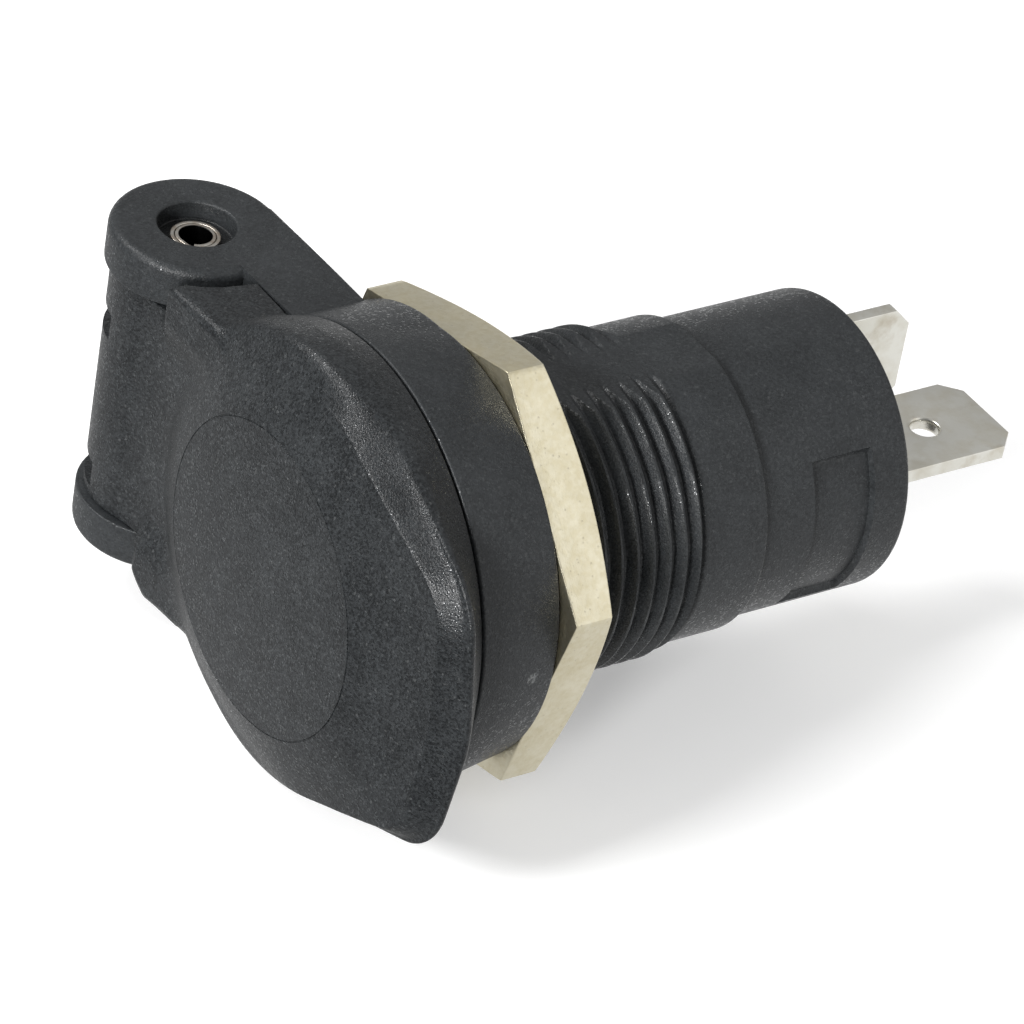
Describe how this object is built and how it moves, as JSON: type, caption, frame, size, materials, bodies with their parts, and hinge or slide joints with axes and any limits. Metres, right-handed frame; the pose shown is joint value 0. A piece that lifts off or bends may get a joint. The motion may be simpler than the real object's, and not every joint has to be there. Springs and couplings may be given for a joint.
{
  "type": "panel-mounted 12 V power socket",
  "caption": "Round panel-mounted 12 V power socket with a sprung hinged lid, a threaded barrel with its hex nut, and push-on blades at the rear.",
  "frame": {"origin": "centre of the flange's rear seating face, on the socket axis", "axes": "+Y along the socket axis towards the blades, +X towards the thumb tab, +Z along the hinge pin"},
  "size_m": [0.0378, 0.0457, 0.026],
  "materials": {
    "black_plastic": "fine spark-eroded grain, matt",
    "seal_rubber": "matt",
    "pin_steel": "bare spring steel, cut ends",
    "spring_steel": "drawn wire",
    "nickel_plate": "satin nickel plate over turned brass",
    "contact_plate": "tin plate, satin",
    "carrier_plastic": "moulded phenolic",
    "bare_brass": "turned"
  },
  "bodies": {
    "socket": {"housing": "black_plastic", "hinge_pin": "pin_steel", "lid_spring": "spring_steel", "panel_nut": "nickel_plate", "contact_sleeve": "contact_plate", "clamp_ring": "spring_steel", "ground_blade": "contact_plate", "ground_rivet": "contact_plate", "contact_carrier": "carrier_plastic", "contact_bush": "bare_brass", "contact_spring": "spring_steel", "centre_blade": "contact_plate", "blade_rivet": "bare_brass", "rear_cap": "black_plastic"},
    "lid": {"lid": "black_plastic", "lid_seal": "seal_rubber"},
    "plunger": {"centre_contact": "contact_plate"}
  },
  "joints": [
    {"name": "lid_hinge", "type": "hinge", "parent": "socket", "child": "lid", "pos_m": [-0.0174, -0.0054, 0], "axis": [0, 0, -1], "range_deg": [0, 110], "stiffness_Nm_per_rad": 0.01, "springref_deg": -34.38, "deforming": ["lid_spring"]},
    {"name": "plunger_slide", "type": "slide", "parent": "socket", "child": "plunger", "axis": [0, 1, 0], "range_m": [0, 0.001], "stiffness_N_per_m": 600, "springref_m": -0.002, "deforming": ["contact_spring"]}
  ]
}
